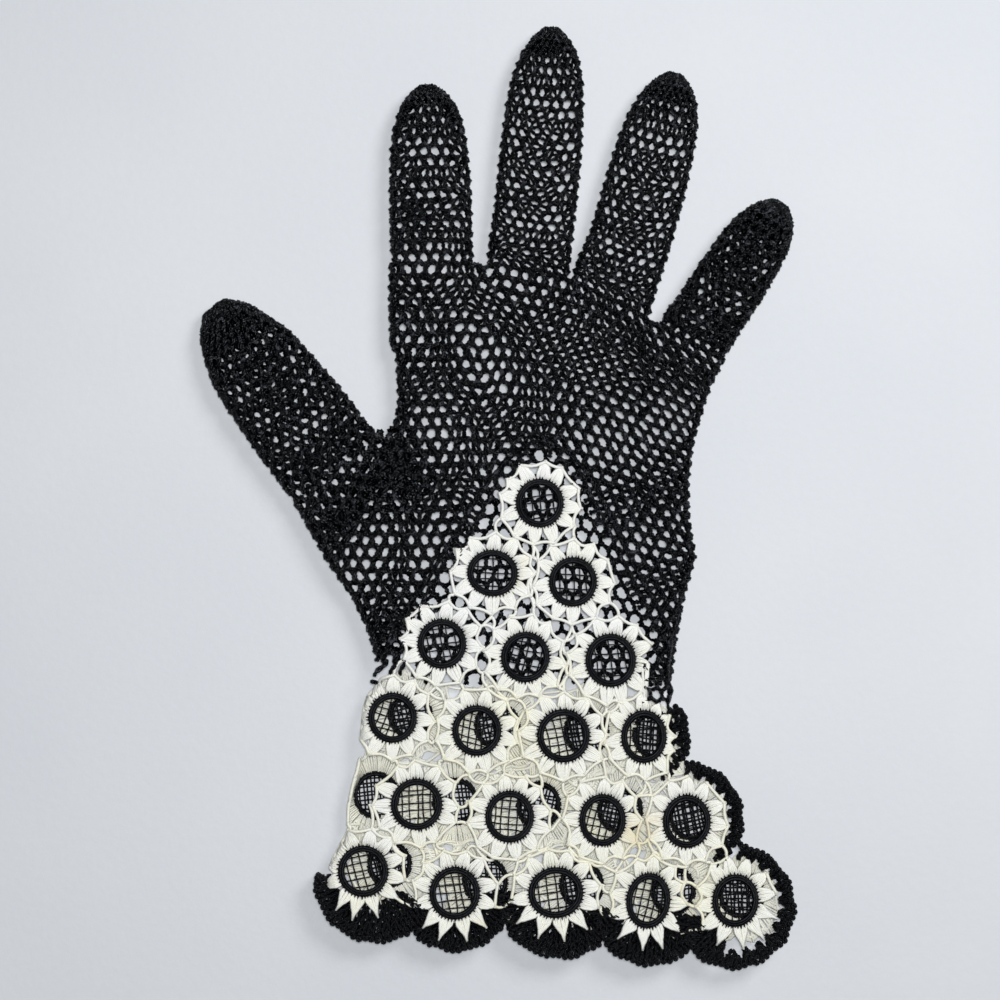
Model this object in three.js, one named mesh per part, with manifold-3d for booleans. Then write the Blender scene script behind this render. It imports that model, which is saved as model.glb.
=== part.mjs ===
// A lady's crocheted gauntlet glove for the right hand, lying on its palm.
// Millimetres, +X towards the little finger's side, +Y towards the fingertips, +Z up from the surface.
// The black hand and fingers and the ivory cuff are hollow walls, left open wherever a hand goes in.

import * as THREE from "three";
import { mergeVertices } from "three/addons/utils/BufferGeometryUtils.js";
import Module from "manifold-3d";

// The hand and the walls
const HAND_WIDTH = 87.5; // flat, across the knuckles
const HAND_LENGTH = 109.4; // from the wrist to the top of the index knuckle
const LYING_HEIGHT = 7.2; // both layers and the air between them
const WALL = 1.2; // one layer of crochet
const SEAM_GAP = 0.3; // between neighbouring pieces

// The five fingers: length from knuckle to tip and flat width
const THUMB_LENGTH = 77.9;
const THUMB_WIDTH = 30.8;
const INDEX_LENGTH = 61.3;
const INDEX_WIDTH = 23.9;
const MIDDLE_LENGTH = 73.8;
const MIDDLE_WIDTH = 23.9;
const RING_LENGTH = 69.9;
const RING_WIDTH = 23.9;
const LITTLE_LENGTH = 53.8;
const LITTLE_WIDTH = 21.1;
const JOIN_MARGIN = 0.3; // how far a join reaches past the finger's own edge

// The lace: its point in the back of the hand and the flared cuff
const POINT_WIDTH = 85; // along the wrist
const POINT_LENGTH = 69.3;
const CUFF_WIDTH = 136.8; // along the hem, scallops included
const CUFF_LENGTH = 81.2; // from the wrist to the lowest scallop
const ROSETTE_RADIUS = 11.7; // to the tips of the petals
const ROSETTE_PITCH = 24; // between neighbouring middles, for the gaps between them
const SCALLOP_RADIUS = 18; // outer edge of the black border round a hem rosette
const BORDER_START = 6.3; // below the wrist, on the slit's side

// The padded rings
const RING_INNER_RADIUS = 5;
const RING_CORD = 1.9; // width of the padded cord, seen from above
const RING_HEIGHT = 1.5;
const RING_PROUD = 0.15; // above the lace
const RING_SIDES = 12;
const RING_CORD_SIDES = 5;

// The small gaps in the lace
const LENS_GAP_RADIUS = 1.5;
const LENS_GAP_SIDES = 4;
const CORNER_GAP_RADIUS = 2.3;
const CORNER_GAP_SIDES = 6;
const NEIGHBOUR_REACH = 1.21; // rosettes up to this many pitches apart are neighbours
const HEM_SIDES = 20; // of a whole scallop

const CROCHET_BLACK = { color: 0x17171a, roughness: 0.75, metalness: 0 };
const LACE_IVORY = { color: 0xefecd8, roughness: 0.85, metalness: 0 };
const CORD_BLACK = { color: 0x232327, roughness: 0.45, metalness: 0 };
const BORDER_BLACK = { color: 0x111114, roughness: 0.8, metalness: 0 };

// Ribs of the hand, from the wrist up. Each runs from a point on the thumb's side to one on the other
// side, across in shares of HAND_WIDTH from the wrist's middle, along in shares of HAND_LENGTH.
const HAND_RIBS = [
  { leftAcross: -0.485, leftAlong: -0.005, rightAcross: 0.489, rightAlong: -0.005 },
  { leftAcross: -0.476, leftAlong: 0.062, rightAcross: 0.495, rightAlong: 0.062 },
  { leftAcross: -0.505, leftAlong: 0.146, rightAcross: 0.511, rightAlong: 0.146 },
  { leftAcross: -0.545, leftAlong: 0.229, rightAcross: 0.531, rightAlong: 0.229 },
  { leftAcross: -0.56, leftAlong: 0.333, rightAcross: 0.567, rightAlong: 0.333 },
  { leftAcross: -0.55, leftAlong: 0.427, rightAcross: 0.547, rightAlong: 0.427 },
  { leftAcross: -0.489, leftAlong: 0.531, rightAcross: 0.544, rightAlong: 0.531 },
  { leftAcross: -0.427, leftAlong: 0.635, rightAcross: 0.56, rightAlong: 0.63 },
  { leftAcross: -0.404, leftAlong: 0.74, rightAcross: 0.596, rightAlong: 0.729 },
  { leftAcross: -0.412, leftAlong: 0.87, rightAcross: 0.635, rightAlong: 0.818 },
  { leftAcross: -0.427, leftAlong: 1.078, rightAcross: 0.655, rightAlong: 0.844 },
];

// Each finger: where its knuckle sits in shares of the hand, how it leans in degrees from straight up
// the hand, how much wider it is at the knuckle on either side in shares of its width, and its join
// to the hand: how far along the finger, and which way that join faces.
const FINGERS = [
  {
    name: "thumb", length: THUMB_LENGTH, width: THUMB_WIDTH, flareLeft: 0, flareRight: 0,
    across: -0.466, along: 0.414, lean: -37.4, joinAt: 0.27, joinLean: -37.4,
  },
  {
    name: "index_finger", length: INDEX_LENGTH, width: INDEX_WIDTH, flareLeft: 0.04, flareRight: 0.18,
    across: -0.287, along: 1, lean: -2.1, joinAt: 0.177, joinLean: 0,
  },
  {
    name: "middle_finger", length: MIDDLE_LENGTH, width: MIDDLE_WIDTH, flareLeft: 0.06, flareRight: -0.04,
    across: 0.023, along: 1.039, lean: 4.9, joinAt: 0.06, joinLean: 12.5,
  },
  {
    name: "ring_finger", length: RING_LENGTH, width: RING_WIDTH, flareLeft: 0.115, flareRight: -0.06,
    across: 0.293, along: 0.974, lean: 14.9, joinAt: 0.045, joinLean: 26,
  },
  {
    name: "little_finger", length: LITTLE_LENGTH, width: LITTLE_WIDTH, flareLeft: 0.14, flareRight: 0.04,
    across: 0.511, along: 0.839, lean: 32.7, joinAt: 0.128, joinLean: 28,
  },
];
const FLARE_END = 0.28; // share of the finger's length where the knuckle's flare has faded

// Sections of a finger, in shares of its length, its width to either side, and the lying height.
const FINGER_SECTIONS = [
  { at: -0.22, left: 0.5, right: 0.5, height: 1 },
  { at: 0, left: 0.5, right: 0.5, height: 1 },
  { at: 0.28, left: 0.5, right: 0.49, height: 1 },
  { at: 0.52, left: 0.49, right: 0.5, height: 1 },
  { at: 0.7, left: 0.465, right: 0.475, height: 1 },
  { at: 0.81, left: 0.42, right: 0.44, height: 0.98 },
  { at: 0.9, left: 0.33, right: 0.36, height: 0.9 },
  { at: 0.96, left: 0.22, right: 0.25, height: 0.78 },
  { at: 1, left: 0.07, right: 0.09, height: 0.55 },
];

// The thumb is set on a gusset that widens down to the wrist.
const THUMB_SECTIONS = [
  { at: -0.32, left: 0.7, right: 0.3, height: 1 },
  { at: -0.15, left: 0.605, right: 0.5, height: 1 },
  { at: 0, left: 0.595, right: 0.6, height: 1 },
  { at: 0.23, left: 0.51, right: 0.64, height: 1 },
  { at: 0.3, left: 0.505, right: 0.49, height: 1 },
  { at: 0.48, left: 0.5, right: 0.5, height: 1 },
  { at: 0.67, left: 0.475, right: 0.465, height: 1 },
  { at: 0.77, left: 0.445, right: 0.44, height: 0.98 },
  { at: 0.86, left: 0.37, right: 0.36, height: 0.92 },
  { at: 0.94, left: 0.27, right: 0.28, height: 0.8 },
  { at: 1, left: 0.1, right: 0.12, height: 0.6 },
];

// Sections of the cuff as a flat tube, from just above the wrist down past the hem, in shares of the
// cuff. The left side is the fold. The right side lies past the slit, so the slit's edge is a cut.
const CUFF_RIBS = [
  { left: -0.306, right: 0.31, along: 0.042 },
  { left: -0.31, right: 0.312, along: -0.007 },
  { left: -0.329, right: 0.379, along: -0.049 },
  { left: -0.338, right: 0.458, along: -0.126 },
  { left: -0.35, right: 0.55, along: -0.295 },
  { left: -0.371, right: 0.604, along: -0.428 },
  { left: -0.37, right: 0.642, along: -0.519 },
  { left: -0.396, right: 0.667, along: -0.611 },
  { left: -0.425, right: 0.683, along: -0.688 },
  { left: -0.437, right: 0.713, along: -1.021 },
];

// The lace point's outline, from the wrist on the little finger's side over the apex and back down,
// in shares of the point.
const POINT_OUTLINE = [
  { across: 0.5, along: -0.02 },
  { across: 0.48, along: 0.16 },
  { across: 0.436, along: 0.296 },
  { across: 0.356, along: 0.453 },
  { across: 0.272, along: 0.667 },
  { across: 0.185, along: 0.881 },
  { across: 0.06, along: 1 },
  { across: -0.064, along: 0.86 },
  { across: -0.148, along: 0.708 },
  { across: -0.235, along: 0.535 },
  { across: -0.315, along: 0.362 },
  { across: -0.403, along: 0.255 },
  { across: -0.43, along: 0.119 },
  { across: -0.49, along: -0.02 },
];

// The cuff's hem between the rosettes, in shares of the cuff, round from the wrist on the fold's side.
const HEM_OUTLINE = [
  { across: -0.39, along: 0 },
  { across: -0.463, along: -0.074 },
  { across: -0.463, along: -0.66 },
  { across: -0.329, along: -0.709 },
  { across: -0.235, along: -0.758 },
  { across: -0.035, along: -0.779 },
  { across: 0.069, along: -0.782 },
  { across: 0.263, along: -0.807 },
  { across: 0.352, along: -0.807 },
  { across: 0.444, along: -0.775 },
  { across: 0.429, along: -0.639 },
  { across: 0.342, along: -0.477 },
  { across: 0.329, along: -0.295 },
  { across: 0.252, along: -0.182 },
  { across: 0.312, along: -0.056 },
  { across: 0.312, along: 0 },
];

// The rosettes of the point, in shares of the point.
const POINT_ROSETTES = [
  { across: 0.059, along: 0.744 },
  { across: -0.099, along: 0.457 },
  { across: 0.17, along: 0.421 },
  { across: -0.268, along: 0.167 },
  { across: 0.011, along: 0.113 },
  { across: 0.296, along: 0.099 },
];

// The rosettes on the cuff's front, in shares of the cuff. Those along the hem and the slit are rounded
// off by the lace's own edge.
const FRONT_ROSETTES = [
  { across: -0.269, along: -0.116, onHem: false },
  { across: -0.094, along: -0.161, onHem: false },
  { across: 0.086, along: -0.179, onHem: false },
  { across: 0.253, along: -0.182, onHem: true },
  { across: -0.219, along: -0.419, onHem: false },
  { across: -0.026, along: -0.462, onHem: false },
  { across: 0.167, along: -0.474, onHem: false },
  { across: 0.342, along: -0.479, onHem: true },
  { across: -0.33, along: -0.653, onHem: true },
  { across: -0.14, along: -0.73, onHem: true },
  { across: 0.07, along: -0.728, onHem: true },
  { across: 0.262, along: -0.756, onHem: true },
  { across: 0.443, along: -0.756, onHem: true },
];

// The rosettes on the cuff's back, which lie half a pitch further round.
const BACK_ROSETTES = [
  { across: -0.233, along: -0.116 },
  { across: -0.052, along: -0.151 },
  { across: 0.135, along: -0.172 },
  { across: 0.277, along: -0.182 },
  { across: -0.305, along: -0.396 },
  { across: -0.14, along: -0.418 },
  { across: 0.035, along: -0.432 },
  { across: 0.206, along: -0.449 },
  { across: 0.354, along: -0.47 },
  { across: -0.277, along: -0.639 },
  { across: -0.077, along: -0.698 },
  { across: 0.125, along: -0.712 },
  { across: 0.317, along: -0.733 },
  { across: 0.46, along: -0.747 },
];

// The scallops of the black border, in shares of the cuff and of SCALLOP_RADIUS.
const SCALLOPS = [
  { across: -0.3, along: -0.681, radius: 1.016 },
  { across: -0.14, along: -0.719, radius: 0.984 },
  { across: 0.079, along: -0.733, radius: 1.032 },
  { across: 0.267, along: -0.765, radius: 1 },
  { across: 0.44, along: -0.779, radius: 0.984 },
  { across: 0.342, along: -0.477, radius: 0.921 },
  { across: 0.237, along: -0.189, radius: 0.857 },
];

const wasm = await Module();
wasm.setup();

// Solids and meshes

function solid(geometry) {
  const bare = geometry.index ? geometry.clone() : geometry;
  bare.deleteAttribute("normal");
  bare.deleteAttribute("uv");
  const merged = mergeVertices(bare);
  return new wasm.Manifold(
    new wasm.Mesh({
      numProp: 3,
      vertProperties: Float32Array.from(merged.attributes.position.array),
      triVerts: Uint32Array.from(merged.index.array),
    }),
  );
}

function joined(solids) {
  return solids.reduce((whole, next) => whole.add(next));
}

function piece(name, body, look) {
  const cut = body.getMesh();
  const geometry = new THREE.BufferGeometry();
  geometry.setAttribute("position", new THREE.BufferAttribute(Float32Array.from(cut.vertProperties), 3));
  geometry.setIndex(new THREE.BufferAttribute(Uint32Array.from(cut.triVerts), 1));
  geometry.computeVertexNormals();
  const mesh = new THREE.Mesh(geometry, new THREE.MeshStandardMaterial(look));
  mesh.name = name;
  return mesh;
}

// A closed body through sections that all have as many points, each a ring seen from the next one.
function loft(sections) {
  const count = sections[0].length;
  const positions = sections.flat().flatMap((point) => point.toArray());
  const faces = [];
  for (let level = 0; level < sections.length - 1; level += 1) {
    for (let side = 0; side < count; side += 1) {
      const next = (side + 1) % count;
      const a = level * count + side;
      const b = level * count + next;
      const c = a + count;
      const d = b + count;
      faces.push(a, c, b, b, c, d);
    }
  }
  const top = (sections.length - 1) * count;
  for (let side = 1; side < count - 1; side += 1) {
    faces.push(0, side, side + 1);
    faces.push(top, top + side + 1, top + side);
  }
  const geometry = new THREE.BufferGeometry();
  geometry.setAttribute("position", new THREE.Float32BufferAttribute(positions, 3));
  geometry.setIndex(faces);
  return geometry;
}

// A flat section from one edge point to the other: level below and above, round at both edges.
const EDGE_STEPS = 3;

function flatSection(left, right, low, high) {
  const radius = (high - low) / 2;
  const middle = (high + low) / 2;
  const along = right.clone().sub(left).normalize();
  const points = [];
  for (let step = 0; step <= EDGE_STEPS; step += 1) {
    const turn = -Math.PI / 2 + (Math.PI * step) / EDGE_STEPS;
    const spot = right.clone().addScaledVector(along, radius * (Math.cos(turn) - 1));
    points.push(new THREE.Vector3(spot.x, spot.y, middle + radius * Math.sin(turn)));
  }
  for (let step = 0; step <= EDGE_STEPS; step += 1) {
    const turn = Math.PI / 2 + (Math.PI * step) / EDGE_STEPS;
    const spot = left.clone().addScaledVector(along, radius * (Math.cos(turn) + 1));
    points.push(new THREE.Vector3(spot.x, spot.y, middle + radius * Math.sin(turn)));
  }
  return points;
}

// The same section made smaller all round by the wall, for the hollow.
function innerSection(left, right, low, high) {
  const along = right.clone().sub(left).normalize();
  return flatSection(
    left.clone().addScaledVector(along, WALL),
    right.clone().addScaledVector(along, -WALL),
    low + WALL,
    high - WALL,
  );
}

// An upright prism over an outline of flat points, and an upright round column.
function prism(points, low, high) {
  const shape = new THREE.Shape(points);
  const geometry = new THREE.ExtrudeGeometry(shape, { depth: high - low, bevelEnabled: false });
  geometry.translate(0, 0, low);
  return solid(geometry);
}

function column(spot, radius, sides, low, high) {
  const geometry = new THREE.CylinderGeometry(radius, radius, high - low, sides);
  geometry.rotateX(Math.PI / 2);
  geometry.translate(spot.x, spot.y, (low + high) / 2);
  return solid(geometry);
}

// An outline moved outwards by a clearance, each corner along the mean of its two sides' normals.
function grown(points, clearance) {
  const turning = THREE.ShapeUtils.area(points) > 0 ? 1 : -1;
  return points.map((point, index) => {
    const before = points[(index + points.length - 1) % points.length];
    const after = points[(index + 1) % points.length];
    const into = point.clone().sub(before).normalize();
    const out = after.clone().sub(point).normalize();
    const normal = new THREE.Vector2(into.y + out.y, -into.x - out.x).multiplyScalar(turning);
    const sharpness = Math.max(normal.lengthSq() / 4, 0.3);
    return point.clone().addScaledVector(normal, clearance / (2 * sharpness));
  });
}

// Places, from the wrist's middle

const onHand = (across, along) => new THREE.Vector2(across * HAND_WIDTH, along * HAND_LENGTH);
const onPoint = (place) => new THREE.Vector2(place.across * POINT_WIDTH, place.along * POINT_LENGTH);
const onCuff = (place) => new THREE.Vector2(place.across * CUFF_WIDTH, place.along * CUFF_LENGTH);
const OVERSHOOT = 2; // how far a cutting shape reaches past what it cuts
const MIDDLE = LYING_HEIGHT / 2;
const BELOW = -OVERSHOOT;
const ABOVE = LYING_HEIGHT + OVERSHOOT;
const RADIANS = Math.PI / 180;
const facing = (lean) => new THREE.Vector2(Math.sin(lean * RADIANS), Math.cos(lean * RADIANS));
const besides = (direction) => new THREE.Vector2(direction.y, -direction.x);

// The hand's and the cuff's outer body and hollow

function handBody(section) {
  const sections = HAND_RIBS.map((rib) => {
    const left = onHand(rib.leftAcross, rib.leftAlong);
    const right = onHand(rib.rightAcross, rib.rightAlong);
    return section(left, right, 0, LYING_HEIGHT);
  });
  return solid(loft(sections));
}

function cuffBody(section) {
  const sections = CUFF_RIBS.map((rib) =>
    section(
      onCuff({ across: rib.left, along: rib.along }),
      onCuff({ across: rib.right, along: rib.along }),
      0,
      LYING_HEIGHT,
    ),
  );
  return solid(loft(sections.reverse()));
}

// A finger's outer body, and its hollow, which stops a wall short of the tip
const sectionRows = (finger) => (finger.name === "thumb" ? THUMB_SECTIONS : FINGER_SECTIONS);

function flareAt(at) {
  return THREE.MathUtils.clamp(1 - at / FLARE_END, 0, 1);
}

function halfWidths(finger, row) {
  return {
    left: (row.left + finger.flareLeft * flareAt(row.at)) * finger.width,
    right: (row.right + finger.flareRight * flareAt(row.at)) * finger.width,
  };
}

function fingerSections(finger) {
  const direction = facing(finger.lean);
  const sideways = besides(direction);
  const knuckle = onHand(finger.across, finger.along);
  return sectionRows(finger).map((row) => {
    const centre = knuckle.clone().addScaledVector(direction, row.at * finger.length);
    const half = halfWidths(finger, row);
    return {
      at: row.at,
      left: centre.clone().addScaledVector(sideways, -half.left),
      right: centre.clone().addScaledVector(sideways, half.right),
      height: row.height * LYING_HEIGHT,
    };
  });
}

function fingerBody(finger) {
  return solid(loft(fingerSections(finger).map((row) => flatSection(row.left, row.right, 0, row.height))));
}

function fingerHollow(finger) {
  const rows = fingerSections(finger).filter((row) => (1 - row.at) * finger.length > WALL);
  return solid(loft(rows.map((row) => innerSection(row.left, row.right, 0, row.height))));
}

// The stretch of a finger past its join, as a prism a little wider than the finger all the way.
// back moves the join towards the hand.
function pastJoin(finger, back) {
  const direction = facing(finger.lean);
  const rows = sectionRows(finger);
  const after = rows.findIndex((row) => row.at > finger.joinAt);
  const share = (finger.joinAt - rows[after - 1].at) / (rows[after].at - rows[after - 1].at);
  const from = halfWidths(finger, rows[after - 1]);
  const to = halfWidths(finger, rows[after]);
  const join = onHand(finger.across, finger.along)
    .addScaledVector(direction, finger.joinAt * finger.length)
    .addScaledVector(facing(finger.joinLean), -back);
  const alongJoin = besides(facing(finger.joinLean));
  const side = (name, sign) => {
    const half = THREE.MathUtils.lerp(from[name], to[name], share) + JOIN_MARGIN;
    const start = join.clone().addScaledVector(alongJoin, sign * half);
    const edge = fingerSections(finger)
      .slice(after)
      .map((row) => row[name].clone().addScaledVector(besides(direction), sign * JOIN_MARGIN));
    const end = edge.at(-1).clone().addScaledVector(direction, OVERSHOOT);
    return [start, ...edge, end];
  };
  return prism([...side("right", 1), ...side("left", -1).reverse()], BELOW, ABOVE);
}

// The whole glove as one hollow wall. The cuff's tube runs on past its hem and its slit.
const outside = joined([handBody(flatSection), cuffBody(flatSection), ...FINGERS.map(fingerBody)]);
const hollow = joined([handBody(innerSection), cuffBody(innerSection), ...FINGERS.map(fingerHollow)]);
const walls = outside.subtract(hollow);

// An oblong across the whole glove, from one height along it to another
function across(from, to) {
  const reach = CUFF_WIDTH + HAND_WIDTH;
  const outline = [
    new THREE.Vector2(-reach, from),
    new THREE.Vector2(reach, from),
    new THREE.Vector2(reach, to),
    new THREE.Vector2(-reach, to),
  ];
  return prism(outline, BELOW, ABOVE);
}

// The plans of the lace's cuff and of its point, grown by a clearance
function cuffPlan(clearance) {
  const rounds = FRONT_ROSETTES.filter((rosette) => rosette.onHem).map((rosette) =>
    column(onCuff(rosette), ROSETTE_RADIUS + clearance, HEM_SIDES, BELOW, ABOVE),
  );
  return joined([prism(grown(HEM_OUTLINE.map(onCuff), clearance), BELOW, ABOVE), ...rounds]);
}

function pointPlan(clearance) {
  return prism(grown(POINT_OUTLINE.map(onPoint), clearance), MIDDLE, ABOVE);
}

// The black hand and its fingers

function hand() {
  const farEnd = HAND_LENGTH + MIDDLE_LENGTH + RING_LENGTH;
  return FINGERS.reduce(
    (body, finger) => body.subtract(pastJoin(finger, SEAM_GAP)),
    walls.intersect(across(SEAM_GAP, farEnd)).subtract(pointPlan(SEAM_GAP)),
  );
}

function finger(row) {
  return fingerBody(row).subtract(fingerHollow(row)).intersect(pastJoin(row, 0));
}

// The ivory lace, cut through at each rosette and between neighbouring rosettes

function nearby(spots) {
  const reach = ROSETTE_PITCH * NEIGHBOUR_REACH;
  const isNear = (a, b) => a !== b && spots[a].distanceTo(spots[b]) < reach;
  const indices = spots.map((_, index) => index);
  const pairs = indices.flatMap((a) => indices.filter((b) => b > a && isNear(a, b)).map((b) => [a, b]));
  const triples = pairs.flatMap(([a, b]) =>
    indices.filter((c) => c > b && isNear(a, c) && isNear(b, c)).map((c) => [a, b, c]),
  );
  return { pairs, triples };
}

function middleOf(spots) {
  return spots.reduce((sum, spot) => sum.add(spot), new THREE.Vector2()).divideScalar(spots.length);
}

function gapsBetween(groups, spots, radius, sides, low, high) {
  const places = groups.map((group) => middleOf(group.map((index) => spots[index])));
  return places.map((place) => column(place, radius, sides, low, high));
}

function lace() {
  const front = [...POINT_ROSETTES.map(onPoint), ...FRONT_ROSETTES.map(onCuff)];
  const back = BACK_ROSETTES.map(onCuff);
  const holeRadius = RING_INNER_RADIUS + RING_CORD + SEAM_GAP;
  const nearFront = nearby(front);
  const holes = [
    ...front.map((spot) => column(spot, holeRadius, RING_SIDES, MIDDLE, ABOVE)),
    ...back.map((spot) => column(spot, holeRadius, RING_SIDES, BELOW, MIDDLE)),
    ...gapsBetween(nearFront.pairs, front, LENS_GAP_RADIUS, LENS_GAP_SIDES, MIDDLE, ABOVE),
    ...gapsBetween(nearFront.triples, front, CORNER_GAP_RADIUS, CORNER_GAP_SIDES, MIDDLE, ABOVE),
    ...gapsBetween(nearby(back).triples, back, CORNER_GAP_RADIUS, CORNER_GAP_SIDES, BELOW, MIDDLE),
  ];
  return walls.intersect(cuffPlan(0).add(pointPlan(0))).subtract(joined(holes));
}

// The black scalloped border round the hem and up the slit
function border() {
  const scallops = SCALLOPS.map((row) =>
    column(onCuff(row), row.radius * SCALLOP_RADIUS, HEM_SIDES, BELOW, ABOVE),
  );
  return walls
    .intersect(joined(scallops))
    .subtract(cuffPlan(SEAM_GAP))
    .subtract(across(-BORDER_START, BORDER_START));
}

// A padded ring in its hole in the lace
function paddedRing(name, spot, bottom) {
  const tube = RING_CORD / 2;
  const geometry = new THREE.TorusGeometry(RING_INNER_RADIUS + tube, tube, RING_CORD_SIDES, RING_SIDES);
  const tallest = Math.sin((2 * Math.PI) / RING_CORD_SIDES); // of the cord, over its half width
  geometry.scale(1, 1, RING_HEIGHT / (2 * tube * tallest));
  const mesh = piece(name, solid(geometry), CORD_BLACK);
  mesh.position.set(spot.x, spot.y, bottom + RING_HEIGHT / 2);
  return mesh;
}

function rings(kind, spots, bottom) {
  return spots.map((spot, index) => paddedRing(`ring_${kind}_${index + 1}`, spot, bottom));
}

const topRing = LYING_HEIGHT + RING_PROUD - RING_HEIGHT;
const glove = new THREE.Group();
glove.add(
  piece("hand", hand(), CROCHET_BLACK),
  ...FINGERS.map((row) => piece(row.name, finger(row), CROCHET_BLACK)),
  piece("lace_cuff", lace(), LACE_IVORY),
  piece("scallop_edging", border(), BORDER_BLACK),
  ...rings("point", POINT_ROSETTES.map(onPoint), topRing),
  ...rings("front", FRONT_ROSETTES.map(onCuff), topRing),
  ...rings("back", BACK_ROSETTES.map(onCuff), 0),
);

// The origin is under the middle of the whole glove.
const box = new THREE.Box3().setFromObject(glove);
const middle = box.getCenter(new THREE.Vector3());
glove.position.set(-middle.x, -middle.y, -box.min.z);

const assembly = new THREE.Group();
assembly.add(glove);
assembly.updateMatrixWorld(true);

export default assembly;
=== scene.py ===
import math

import bpy
import numpy as np
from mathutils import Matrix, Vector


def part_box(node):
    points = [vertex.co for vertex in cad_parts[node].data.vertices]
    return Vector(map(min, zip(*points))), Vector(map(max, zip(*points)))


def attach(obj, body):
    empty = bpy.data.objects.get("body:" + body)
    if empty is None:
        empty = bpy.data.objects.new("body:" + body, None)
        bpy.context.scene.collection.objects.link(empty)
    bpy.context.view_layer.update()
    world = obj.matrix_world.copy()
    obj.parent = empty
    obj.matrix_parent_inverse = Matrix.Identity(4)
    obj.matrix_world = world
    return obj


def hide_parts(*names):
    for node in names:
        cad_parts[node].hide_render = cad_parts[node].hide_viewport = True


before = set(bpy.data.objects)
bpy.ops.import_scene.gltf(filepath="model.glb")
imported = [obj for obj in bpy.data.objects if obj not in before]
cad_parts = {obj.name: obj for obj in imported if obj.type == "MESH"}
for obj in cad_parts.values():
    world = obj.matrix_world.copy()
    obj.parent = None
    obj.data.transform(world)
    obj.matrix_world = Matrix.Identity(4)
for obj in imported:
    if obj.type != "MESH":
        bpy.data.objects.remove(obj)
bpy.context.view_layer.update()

# Lengths here are in millimetres, and become metres where a mesh is made.
MM = 0.001
FULL_TURN = 2 * math.pi
UP = np.array([0, 0, 1.0])
chance = np.random.default_rng(29)

WRIST = -53.0  # where the hand ends and the cuff begins

# The black net of the hand
NET_HOLE = 3.4  # width of one mesh, strand to strand
NET_ROW = 2.96  # from one row of meshes to the next
HAND_ROWS = 38
PALM_HOLE = 3.75
PALM_ROWS = 34
PLY_RADIUS = 0.41
PLY_OFFSET = 0.38
NET_CLEAR = 0.85  # from the solid's faces to the middle of the strands
NODE_JITTER = 0.09  # how far a knot strays, in meshes
NET_SPIRAL = 0.0028  # turns of a finger's net for each millimetre up it
UNDER_SWAY = 4.4  # how far the rows under a finger run up and down against those above

# The ringed rosettes
RING_MIDDLE = 5.8
RING_CORD = 0.6
BAND_MIDDLE = 6.45
BAND_HALF = 0.68
SPIKE_COUNT = 47
SPIKE_TIP = 7.55
PETAL_COUNT = 12
PETAL_STITCHES = 8
PETAL_FOOT = 6.65
PETAL_TIP = 12.8
SHORTEST_PETAL = 9.6  # where the border leaves it the least room
STITCH_RADIUS = 0.36
CHAIN_RADIUS = 0.46
CHAIN_BOW = 0.8
MESH_THREAD = 0.19


# Reading the solids of the frame

def solid_edges(node):
    """The two ends of every edge of a CAD node, in millimetres."""
    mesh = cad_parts[node].data
    places = np.empty(len(mesh.vertices) * 3)
    mesh.vertices.foreach_get("co", places)
    pairs = np.empty(len(mesh.edges) * 2, dtype=int)
    mesh.edges.foreach_get("vertices", pairs)
    return places.reshape(-1, 3)[pairs.reshape(-1, 2)] / MM


def slices(node, along, across, stations):
    """The lowest and highest reach of a node along `across`, at each station on `along`."""
    ends = solid_edges(node)
    travel = ends @ np.asarray(along, float)
    reach = ends @ np.asarray(across, float)
    met, found = [], []
    for station in stations:
        near, far = travel[:, 0] - station, travel[:, 1] - station
        cut = near * far < 0
        if cut.any():
            share = near[cut] / (near[cut] - far[cut])
            hits = reach[cut, 0] + share * (reach[cut, 1] - reach[cut, 0])
            met.append(station)
            found.append((hits.min(), hits.max()))
    return np.stack([np.interp(stations, met, side) for side in np.array(found).T], axis=-1)


def span(node, direction):
    """How far a node reaches along a direction."""
    reach = solid_edges(node) @ np.asarray(direction, float)
    return reach.min(), reach.max()


def edges_at(node, levels):
    """The left and right edges of a node at each level up the glove."""
    return slices(node, (0, 1, 0), (1, 0, 0), levels)


def middle_of(node):
    low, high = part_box(node)
    return np.array((low + high) / 2) / MM


def put(name, data, place=(0, 0, 0)):
    """A new object in the scene."""
    made = bpy.data.objects.new(name, data)
    made.location = place
    bpy.context.scene.collection.objects.link(made)
    return made


# Thread

def points_at(x, y, z):
    return np.stack(np.broadcast_arrays(x, y, z), axis=-1)


def stray(reach, shape=None):
    """Random amounts that go as far as reach to either side."""
    return chance.uniform(-reach, reach, shape)


def unit(vectors):
    return vectors / np.maximum(np.linalg.norm(vectors, axis=-1, keepdims=True), 1e-9)


def thread_frame(paths, ups, closed):
    """The ways up from threads and across them, square to their run."""
    if closed:
        ahead = np.roll(paths, -1, axis=1) - np.roll(paths, 1, axis=1)
    else:
        ahead = np.gradient(paths, axis=1)
    ahead = unit(ahead)
    ups = np.broadcast_to(ups, paths.shape)
    ups = unit(ups - ahead * np.sum(ups * ahead, axis=-1, keepdims=True))
    return ups, np.cross(ahead, ups)


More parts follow.
